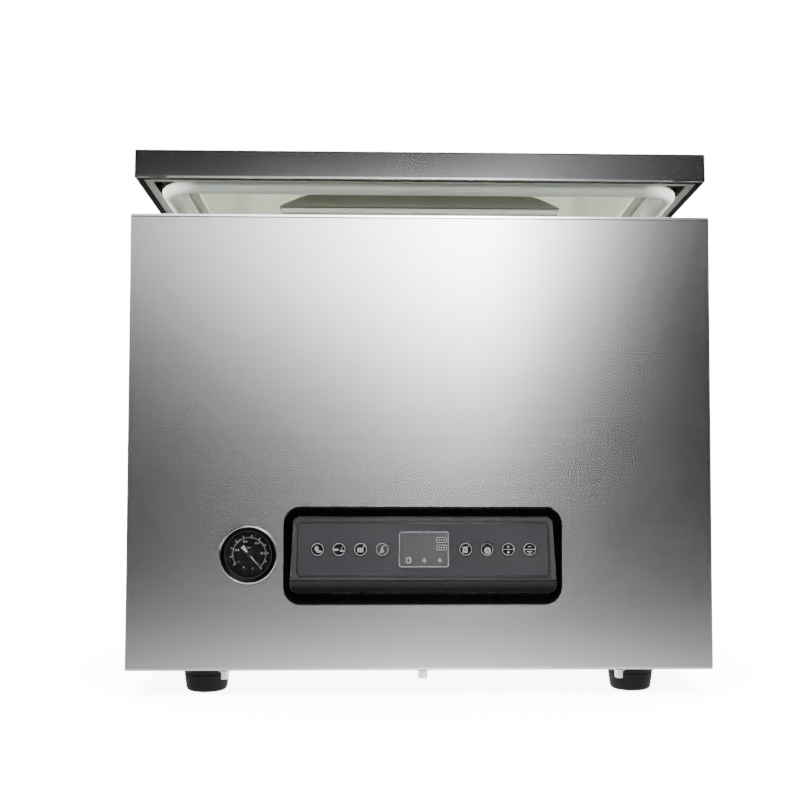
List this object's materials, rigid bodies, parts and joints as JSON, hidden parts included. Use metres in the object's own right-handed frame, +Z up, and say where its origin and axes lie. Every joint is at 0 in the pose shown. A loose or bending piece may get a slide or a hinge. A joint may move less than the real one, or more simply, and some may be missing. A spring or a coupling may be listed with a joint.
{
  "type": "vacuum packing machine",
  "caption": "Tabletop chamber vacuum packing machine with a hinged clear lid, seal bar, round vacuum gauge and sloping key panel.",
  "frame": {"origin": "on the floor under the middle of the machine", "axes": "+Z up, +X to the right of someone facing the machine, front face towards -Y"},
  "size_m": [0.56, 0.4989, 0.5244],
  "materials": {
    "stainless_satin": "satin",
    "stainless_dark": "polished",
    "chrome": "polished",
    "black_rubber": "matte",
    "white_silicone": "satin",
    "clear_acrylic": "gloss",
    "olive_holder": "satin",
    "black_plastic": "gloss",
    "grey_fascia": "satin",
    "key_film": "satin",
    "display_glass": "gloss",
    "gauge_glass": "gloss",
    "dial_face": "matte",
    "needle_white": "satin",
    "circuit_board": "satin",
    "pump_casting": "satin",
    "motor_casting": "satin",
    "filter_shell": "satin",
    "transformer_core": "satin",
    "valve_brass": "satin",
    "polyethylene": "satin",
    "heating_wire": "satin",
    "ptfe_tape": "satin",
    "spring_steel": "satin"
  },
  "bodies": {
    "cabinet": {"base_pan": "stainless_satin", "front_panel": "stainless_satin", "left_side_panel": "stainless_satin", "right_side_panel": "stainless_satin", "rear_cover": "stainless_satin", "top_deck": "stainless_satin", "chamber_tub": "stainless_satin", "foot_front_left": "black_rubber", "foot_front_right": "black_rubber", "foot_rear_left": "black_rubber", "foot_rear_right": "black_rubber", "front_bolt_left": "chrome", "front_bolt_centre": "chrome", "front_bolt_right": "chrome", "filler_plate": "polyethylene", "lift_cylinder_left": "chrome", "lift_cylinder_right": "chrome", "hinge_bracket_left": "stainless_satin", "hinge_bracket_right": "stainless_satin", "hinge_spring_left": "spring_steel", "hinge_spring_right": "spring_steel", "control_bezel": "black_plastic", "control_fascia": "grey_fascia", "display_window": "display_glass", "control_board": "circuit_board", "gauge_case": "black_plastic", "gauge_bezel": "chrome", "gauge_dial": "dial_face", "gauge_lens": "gauge_glass", "vacuum_pump": "pump_casting", "pump_motor": "motor_casting", "exhaust_filter": "filter_shell", "transformer": "transformer_core", "valve_block": "valve_brass", "vacuum_hose": "black_rubber", "gauge_hose": "black_rubber", "power_inlet": "black_plastic"},
    "lid": {"lid_frame": "stainless_dark", "lid_window": "clear_acrylic", "lid_gasket": "white_silicone", "counter_bar_holder": "olive_holder", "counter_bar_rubber": "white_silicone", "hinge_shaft": "chrome", "hinge_arm_left": "stainless_satin", "hinge_arm_right": "stainless_satin"},
    "seal_bar_assembly": {"seal_bar": "stainless_satin", "heating_wire": "heating_wire", "ptfe_cover": "ptfe_tape", "lift_rod_left": "chrome", "lift_rod_right": "chrome"},
    "key_vacuum_button": {"key_vacuum": "key_film"},
    "key_soft_air_button": {"key_soft_air": "key_film"},
    "key_gas_button": {"key_gas": "key_film"},
    "key_seal_button": {"key_seal": "key_film"},
    "key_program_button": {"key_program": "key_film"},
    "key_stop_button": {"key_stop": "key_film"},
    "key_plus_button": {"key_plus": "key_film"},
    "key_minus_button": {"key_minus": "key_film"},
    "gauge_needle_body": {"gauge_needle": "needle_white"},
    "power_rocker_body": {"power_rocker": "black_plastic"}
  },
  "joints": [
    {"name": "lid_hinge", "type": "hinge", "parent": "cabinet", "child": "lid", "pos_m": [0, 0.232, 0.4795], "axis": [-1, 0, 0], "range_deg": [-3.2, 50], "stiffness_Nm_per_rad": 40, "springref_deg": 21.08, "deforming": ["hinge_spring_left", "hinge_spring_right"]},
    {"name": "seal_bar_lift", "type": "slide", "parent": "cabinet", "child": "seal_bar_assembly", "axis": [0, 0, 1], "range_m": [0, 0.012]},
    {"name": "key_vacuum_press", "type": "slide", "parent": "cabinet", "child": "key_vacuum_button", "axis": [0, 0.981, -0.1942], "range_m": [0, 0.0006], "stiffness_N_per_m": 200, "springref_m": -0.002},
    {"name": "key_soft_air_press", "type": "slide", "parent": "cabinet", "child": "key_soft_air_button", "axis": [0, 0.981, -0.1942], "range_m": [0, 0.0006], "stiffness_N_per_m": 200, "springref_m": -0.002},
    {"name": "key_gas_press", "type": "slide", "parent": "cabinet", "child": "key_gas_button", "axis": [0, 0.981, -0.1942], "range_m": [0, 0.0006], "stiffness_N_per_m": 200, "springref_m": -0.002},
    {"name": "key_seal_press", "type": "slide", "parent": "cabinet", "child": "key_seal_button", "axis": [0, 0.981, -0.1942], "range_m": [0, 0.0006], "stiffness_N_per_m": 200, "springref_m": -0.002},
    {"name": "key_program_press", "type": "slide", "parent": "cabinet", "child": "key_program_button", "axis": [0, 0.981, -0.1942], "range_m": [0, 0.0006], "stiffness_N_per_m": 200, "springref_m": -0.002},
    {"name": "key_stop_press", "type": "slide", "parent": "cabinet", "child": "key_stop_button", "axis": [0, 0.981, -0.1942], "range_m": [0, 0.0006], "stiffness_N_per_m": 200, "springref_m": -0.002},
    {"name": "key_plus_press", "type": "slide", "parent": "cabinet", "child": "key_plus_button", "axis": [0, 0.981, -0.1942], "range_m": [0, 0.0006], "stiffness_N_per_m": 200, "springref_m": -0.002},
    {"name": "key_minus_press", "type": "slide", "parent": "cabinet", "child": "key_minus_button", "axis": [0, 0.981, -0.1942], "range_m": [0, 0.0006], "stiffness_N_per_m": 200, "springref_m": -0.002},
    {"name": "gauge_needle_turn", "type": "hinge", "parent": "cabinet", "child": "gauge_needle_body", "pos_m": [-0.1635, -0.234, 0.1349], "axis": [0, -1, 0], "range_deg": [0, 265], "stiffness_Nm_per_rad": 0.0005, "springref_deg": -11.46},
    {"name": "power_rocker_tilt", "type": "hinge", "parent": "cabinet", "child": "power_rocker_body", "pos_m": [0.19, 0.2445, 0.0885], "axis": [1, 0, 0], "range_deg": [-20, 0]}
  ]
}
